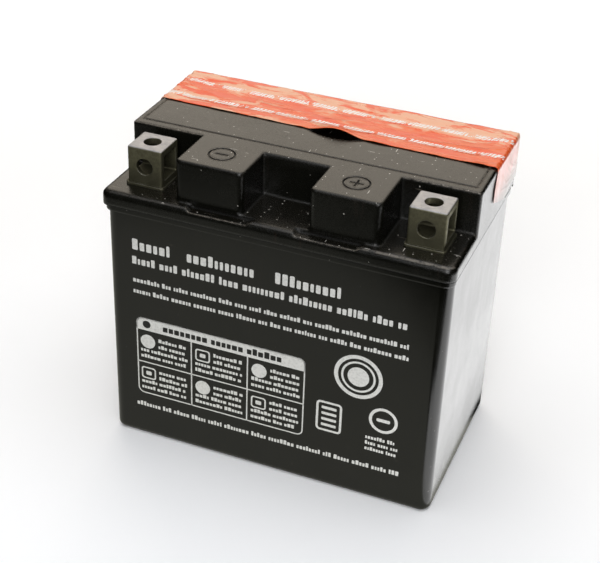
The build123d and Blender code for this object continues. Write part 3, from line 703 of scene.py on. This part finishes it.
# ---------------------------------------------------------------- print on the case's front

# In millimetres. Every place is an x and a z on the front wall.
PRINT_T = 0.03
PRINT_SUNK = 0.01
CORNER_STEPS = 5
WALL_LOW_Z, WALL_HIGH_Z = 10.0, 80.0


def wall_reader():
    """A function that gives the y of the case's flat, slightly leaning front wall at any z,
    from two points of the CAD mesh."""
    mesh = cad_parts["case"].data
    tree = BVHTree.FromPolygons(
        [v.co for v in mesh.vertices], [tuple(p.vertices) for p in mesh.polygons]
    )
    starts = (Vector((0, 4 * CASE_LOW.y, z * MM)) for z in (WALL_LOW_Z, WALL_HIGH_Z))
    low_y, high_y = (tree.ray_cast(start, Vector((0, 1, 0)))[0].y / MM for start in starts)
    lean = (high_y - low_y) / (WALL_HIGH_Z - WALL_LOW_Z)
    return lambda z: low_y + lean * (z - WALL_LOW_Z)


wall_y = wall_reader()


class Stencil:
    """Collects flat shapes on the front wall into one mesh of thin raised ink. The level is
    how many layers of ink lie under it."""

    def __init__(self, level=0):
        self.mesh = bmesh.new()
        self.level = level

    def point(self, x, z, proud):
        """A point that far proud of the wall, or sunk in it where proud is negative."""
        return self.mesh.verts.new(Vector((x, wall_y(z) - proud, z)) * MM)

    def loops(self, outline):
        """The outline sunk a little into what lies under the ink, and again at its face."""
        base = self.level * PRINT_T
        low = [self.point(x, z, base - PRINT_SUNK) for x, z in outline]
        high = [self.point(x, z, base + PRINT_T) for x, z in outline]
        return low, high

    def wall(self, low, high):
        """Joins two loops with a strip of faces."""
        count = len(low)
        for i in range(count):
            j = (i + 1) % count
            self.mesh.faces.new((low[i], low[j], high[j], high[i]))

    def patch(self, outline):
        """A filled shape. Its outline runs anticlockwise as seen from the front."""
        low, high = self.loops(outline)
        self.wall(low, high)
        self.mesh.faces.new(high)
        self.mesh.faces.new(low[::-1])

    def ring(self, outer, inner):
        """The band between two outlines with the same number of points."""
        outer_low, outer_high = self.loops(outer)
        inner_low, inner_high = self.loops(inner)
        self.wall(outer_low, outer_high)
        self.wall(inner_high, inner_low)
        self.wall(inner_low, outer_low)
        self.wall(outer_high, inner_high)

    def finish(self, name, material):
        """Makes a piece of what was collected, printed on the case."""
        mesh = bpy.data.meshes.new(name)
        self.mesh.to_mesh(mesh)
        self.mesh.free()
        mesh.materials.append(material)
        made = bpy.data.objects.new(name, mesh)
        bpy.context.scene.collection.objects.link(made)
        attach(made, "battery")


def rounded(x, z, width, height, radius):
    """A rounded rectangle about (x, z), anticlockwise."""
    # a little under half, so that no two points of the outline meet
    radius = min(radius, 0.499 * width, 0.499 * height)
    points = []
    for quarter, (sx, sz) in enumerate(((1, 1), (-1, 1), (-1, -1), (1, -1))):
        cx, cz = x + sx * (width / 2 - radius), z + sz * (height / 2 - radius)
        for step in range(CORNER_STEPS + 1):
            a = math.pi / 2 * (quarter + step / CORNER_STEPS)
            points.append((cx + radius * math.cos(a), cz + radius * math.sin(a)))
    return points


def circle(x, z, radius, steps=48):
    """A circle about (x, z), anticlockwise."""
    turns = [2 * math.pi * i / steps for i in range(steps)]
    return [(x + radius * math.cos(a), z + radius * math.sin(a)) for a in turns]


# Blocks in a row of print, as shares of its height
BLOCK_TALLS = 0.74, 0.74, 0.74, 1.0
BLOCK_CORNER = 0.1
BLOCK_GAP = 0.17
GROUP_GAP = 0.42


def block_row(stencil, left, right, base_z, height, draws, group=(3, 8), slim=(0.34, 0.62)):
    """A row of plain upright blocks, as filler for a line of print. A group holds so many
    blocks, and slim is how wide they are for the row's height."""
    x = left
    while x < right - slim[0] * height:
        for _ in range(draws.randint(*group)):
            width = height * draws.uniform(*slim)
            tall = height * draws.choice(BLOCK_TALLS)
            if x + width > right:
                return
            middle = x + width / 2, base_z + tall / 2
            stencil.patch(rounded(*middle, width, tall, BLOCK_CORNER * height))
            x += width + BLOCK_GAP * height
        x += GROUP_GAP * height


# Rows of print: where each starts and ends, its base z, and its height
HEADING_SPANS = (-46.8, -33.2), (-28.0, -4.6), (1.4, 23.2)
HEADING_Z, HEADING_HEIGHT = 71.8, 3.9
SUBTITLE = -47.0, 45.0, 66.6, 2.8
SMALL_SPAN = -46.9, 45.4
SMALL_ROWS_Z = 60.0, 55.9, 11.9
SMALL_HEIGHT = 1.7


def make_rows(pale):
    """The lines of print above and below the panel."""
    draws = random.Random(7)
    large = Stencil()
    for span in HEADING_SPANS:
        row = *span, HEADING_Z, HEADING_HEIGHT
        block_row(large, *row, draws, group=(20, 20), slim=(0.26, 0.5))
    block_row(large, *SUBTITLE, draws, group=(3, 10), slim=(0.28, 0.55))
    large.finish("print_large_rows", pale)
    small = Stencil()
    for base_z in SMALL_ROWS_Z:
        block_row(small, *SMALL_SPAN, base_z, SMALL_HEIGHT, draws)
    small.finish("print_small_rows", pale)


PANEL_LEFT, PANEL_RIGHT = -46.3, 12.3
PANEL_BOTTOM, PANEL_TOP = 17.3, 47.1
PANEL_R = 2.2
PANEL_LINE = 0.42
LINE_R = 0.1
HEADER_Z = PANEL_TOP - 4.7
HEADER_DISC_X, HEADER_DISC_R = -42.6, 1.4
HEADER_SPAN = -36.8, 6.0
HEADER_ROW_HEIGHT = 2.4
COLUMN_X = (-26.8, -7.2)
ROW_Z = 29.9
CELL_MARGIN_LEFT, CELL_MARGIN_RIGHT = 1.4, 1.2
MARK_R = 2.6
MARK_DROP = 4.2  # its middle below the cell's top
BOX_OUTER, BOX_INNER, BOX_CORE = (5.2, 4.6, 1.0), (4.2, 3.6, 0.6), (2.0, 1.5, 0.4)
CELL_ROWS = 4
CELL_ROWS_BESIDE_MARK = 2  # the other rows run below the mark
CELL_ROW_INSET = 6.4
CELL_ROW_DROP, CELL_ROW_PITCH, CELL_ROW_HEIGHT = 3.6, 2.35, 1.35


def fill_cell(panel, left, right, top, boxed, draws):
    """A plain mark, boxed or round, and rows of blocks beside and below it."""
    mark = left + MARK_R, top - MARK_DROP
    if boxed:
        panel.ring(rounded(*mark, *BOX_OUTER), rounded(*mark, *BOX_INNER))
        panel.patch(rounded(*mark, *BOX_CORE))
    else:
        panel.patch(circle(*mark, MARK_R))
    for row in range(CELL_ROWS):
        start = left + CELL_ROW_INSET if row < CELL_ROWS_BESIDE_MARK else left
        base_z = top - CELL_ROW_DROP - CELL_ROW_PITCH * row
        block_row(panel, start, right, base_z, CELL_ROW_HEIGHT, draws, slim=(0.5, 0.9))


def make_panel(pale, dark):
    """A plain framed table: a header band, and six cells with a mark and rows in each."""
    draws = random.Random(11)
    width, height = PANEL_RIGHT - PANEL_LEFT, PANEL_TOP - PANEL_BOTTOM
    middle = (PANEL_LEFT + PANEL_RIGHT) / 2, (PANEL_BOTTOM + PANEL_TOP) / 2
    inner = width - 2 * PANEL_LINE, height - 2 * PANEL_LINE, PANEL_R - PANEL_LINE
    outline = rounded(*middle, width, height, PANEL_R)
    panel = Stencil()
    panel.ring(outline, rounded(*middle, *inner))
    band = [point for point in outline if point[1] > HEADER_Z]
    panel.patch([*band, (PANEL_LEFT, HEADER_Z), (PANEL_RIGHT, HEADER_Z)])
    columns_z, columns_height = (PANEL_BOTTOM + HEADER_Z) / 2, HEADER_Z - PANEL_BOTTOM
    for x in COLUMN_X:
        panel.patch(rounded(x, columns_z, PANEL_LINE, columns_height, LINE_R))
    panel.patch(rounded(middle[0], ROW_Z, width, PANEL_LINE, LINE_R))
    sides = (PANEL_LEFT, *COLUMN_X, PANEL_RIGHT)
    boxed = False
    for top in (HEADER_Z, ROW_Z):
        for left, right in zip(sides, sides[1:]):
            inside = left + CELL_MARGIN_LEFT, right - CELL_MARGIN_RIGHT
            fill_cell(panel, *inside, top, boxed, draws)
            boxed = not boxed
    panel.finish("print_panel", pale)

    header = Stencil(level=1)
    header_z = (PANEL_TOP + HEADER_Z) / 2
    header.patch(circle(HEADER_DISC_X, header_z, HEADER_DISC_R, 24))
    row = *HEADER_SPAN, header_z - HEADER_ROW_HEIGHT / 2, HEADER_ROW_HEIGHT
    block_row(header, *row, draws, group=(6, 9), slim=(0.55, 0.75))
    header.finish("print_panel_dark", dark)


EMBLEM_AT = 29.6, 45.6
EMBLEM_RINGS = (7.9, 6.6, 72), (5.6, 4.9, 48)  # outer radius, inner radius, steps around
EMBLEM_CORE_R = 3.5
FRAME_AT = 20.8, 27.6
FRAME_OUTER, FRAME_INNER = (8.6, 11.5, 1.4), (7.1, 10.0, 0.7)
FRAME_BARS, FRAME_BAR_PITCH, FRAME_BAR = 4, 2.2, (5.0, 1.0, 0.3)
DISC_AT = 38.6, 31.6
DISC_RING = 4.7, 3.7
DISC_BAR = 4.4, 1.2, 0.4
DISC_ROWS, DISC_ROW_PITCH, DISC_ROW_HEIGHT = 3, 2.2, 1.4
DISC_ROW_REACH, DISC_ROW_DROP = 5.4, 8.2


def make_symbols(pale):
    """Plain round and square shapes at the right of the panel."""
    draws = random.Random(5)
    shapes = Stencil()
    for outer, inner, steps in EMBLEM_RINGS:
        shapes.ring(circle(*EMBLEM_AT, outer, steps), circle(*EMBLEM_AT, inner, steps))
    shapes.patch(circle(*EMBLEM_AT, EMBLEM_CORE_R))
    shapes.ring(rounded(*FRAME_AT, *FRAME_OUTER), rounded(*FRAME_AT, *FRAME_INNER))
    x, z = FRAME_AT
    for bar in range(FRAME_BARS):
        bar_z = z + FRAME_BAR_PITCH * (bar - (FRAME_BARS - 1) / 2)
        shapes.patch(rounded(x, bar_z, *FRAME_BAR))
    shapes.ring(*(circle(*DISC_AT, radius) for radius in DISC_RING))
    shapes.patch(rounded(*DISC_AT, *DISC_BAR))
    x, z = DISC_AT
    for row in range(DISC_ROWS):
        span = x - DISC_ROW_REACH, x + DISC_ROW_REACH
        base_z = z - DISC_ROW_DROP - DISC_ROW_PITCH * row
        block_row(shapes, *span, base_z, DISC_ROW_HEIGHT, draws)
    shapes.finish("print_symbols", pale)


pale_ink = print_ink("pale_ink", INK_PALE, INK_PALE_WORN)
dark_ink = print_ink("dark_ink", INK_DARK, INK_DARK_WORN)
make_rows(pale_ink)
make_panel(pale_ink, dark_ink)
make_symbols(pale_ink)


# ---------------------------------------------------------------- camera, lights and floor

# Angles in degrees, lengths in metres, lens and sensor in millimetres
CAMERA_AZIMUTH = 20.64
CAMERA_ELEVATION = 31.46
CAMERA_ROLL = 2.37
CAMERA_DISTANCE = 0.44235
CAMERA_TARGET = Vector((-0.00308, 0.0, 0.05293))
CAMERA_LENS = 80.79
CAMERA_SENSOR = 36.0
CAMERA_CLIP = 0.01, 20.0


def make_camera():
    """The camera at the photograph's viewing angle, aimed at the target."""
    data = bpy.data.cameras.new("camera")
    data.lens = CAMERA_LENS
    data.sensor_width = CAMERA_SENSOR
    data.sensor_fit = "HORIZONTAL"
    data.clip_start, data.clip_end = CAMERA_CLIP
    camera = bpy.data.objects.new("camera", data)
    bpy.context.scene.collection.objects.link(camera)
    azimuth, elevation = math.radians(CAMERA_AZIMUTH), math.radians(CAMERA_ELEVATION)
    level = math.cos(elevation)
    back = Vector((math.sin(azimuth) * level, -math.cos(azimuth) * level, math.sin(elevation)))
    place = Matrix.Translation(CAMERA_TARGET + back * CAMERA_DISTANCE)
    turn = (-back).to_track_quat("-Z", "Y").to_matrix().to_4x4()
    roll = Matrix.Rotation(math.radians(CAMERA_ROLL), 4, "Z")
    camera.matrix_world = place @ turn @ roll
    bpy.context.scene.camera = camera


WHITE = (1.0, 1.0, 1.0)
WARM_WHITE = (1.0, 0.90, 0.76)
GREENISH_WHITE = (1.0, 1.0, 0.88)
MIDDLE = (0.0, 0.0, 0.06)

# Where each light is and what it is aimed at, its size in metres, its radiance and its tint.
# The lid's top mirrors the window.
STUDIO_LIGHTS = {
    "window_behind": ((-0.20, 0.56, 0.46), (0, 0, 0.10), (0.75, 0.50), 1.62, WARM_WHITE),
    "overhead": ((0.05, -0.02, 0.80), MIDDLE, (0.8, 0.8), 1.4, WHITE),
    "front": ((0.25, -0.94, 0.62), MIDDLE, (0.62, 0.9), 4.6, WHITE),
}

# Cards of light that lie on the bench and face up, for the walls to mirror. At the battery's
# right rear, in order along X: left edge, right edge and radiance.
CARD_Z = 0.001
REAR_CARDS = (
    (0.057, 0.062, 1.70),
    (0.062, 0.077, 2.10),
    (0.077, 0.091, 1.93),
    (0.091, 0.260, 2.30),
)
REAR_CARDS_Y, REAR_CARDS_DEPTH = 0.085, 0.36
# A weak oval one at the left, which gives the front wall its faint sheen
FRONT_CARD_AT = (-0.109, 0.028)
FRONT_CARD_SIZE = (0.318, 0.44)
FRONT_CARD_TURN = 0.36
FRONT_CARD_RADIANCE = 0.38

FLOOR_REACH = 3.0
FLOOR_WASH_Z, FLOOR_WASH_SIZE, FLOOR_WASH_RADIANCE = 1.3, (1.8, 1.8), 0.9


def area_light(name, at, towards, size, radiance, tint=WHITE):
    """A soft light of that size in metres, unseen itself, aimed from one point to another."""
    data = bpy.data.lights.new(name, "AREA")
    data.shape = "RECTANGLE"
    data.size, data.size_y = size
    data.energy = radiance * math.pi * size[0] * size[1]
    data.color = tint
    light = bpy.data.objects.new(name, data)
    bpy.context.scene.collection.objects.link(light)
    light.location = at
    light.rotation_mode = "QUATERNION"
    light.rotation_quaternion = (Vector(towards) - Vector(at)).to_track_quat("-Z", "Y")
    light.visible_camera = False
    return light


def card(name, x, y, size, radiance, tint=WHITE):
    """A light that lies on the bench and faces up."""
    return area_light(name, (x, y, CARD_Z), (x, y, 1), size, radiance, tint)


def make_lights():
    """The studio lights and the cards on the bench."""
    for name, light in STUDIO_LIGHTS.items():
        area_light(name, *light)
    for left, right, radiance in REAR_CARDS:
        size = right - left, REAR_CARDS_DEPTH
        card("bench_behind", (left + right) / 2, REAR_CARDS_Y, size, radiance)
    front = card(
        "bench_front", *FRONT_CARD_AT, FRONT_CARD_SIZE, FRONT_CARD_RADIANCE, GREENISH_WHITE
    )
    front.data.shape = "ELLIPSE"
    turn = Quaternion((0, 0, 1), FRONT_CARD_TURN)
    front.rotation_quaternion = turn @ front.rotation_quaternion


def make_floor():
    """A pale floor, with a soft light of its own that falls on nothing else."""
    mesh = bpy.data.meshes.new("floor")
    corners = [(-1, -1), (1, -1), (1, 1), (-1, 1)]
    corners = [(x * FLOOR_REACH, y * FLOOR_REACH, 0) for x, y in corners]
    mesh.from_pydata(corners, [], [(0, 1, 2, 3)])
    mesh.materials.append(studio_floor())
    floor = bpy.data.objects.new("floor", mesh)
    bpy.context.scene.collection.objects.link(floor)
    floor.visible_glossy = False
    floor.visible_diffuse = False
    lit = bpy.data.collections.new("lit_floor")
    lit.objects.link(floor)
    above = (0, 0, FLOOR_WASH_Z)
    wash = area_light("floor_wash", above, (0, 0, 0), FLOOR_WASH_SIZE, FLOOR_WASH_RADIANCE)
    wash.light_linking.receiver_collection = lit


def make_world():
    """A white background that only the camera sees."""
    world = bpy.data.worlds.new("studio")
    bpy.context.scene.world = world
    world.use_nodes = True
    world.node_tree.nodes["Background"].inputs["Color"].default_value = (1, 1, 1, 1)
    world.cycles_visibility.diffuse = False
    world.cycles_visibility.glossy = False
    bpy.context.scene.view_settings.view_transform = "Standard"


make_camera()
make_lights()
make_floor()
make_world()
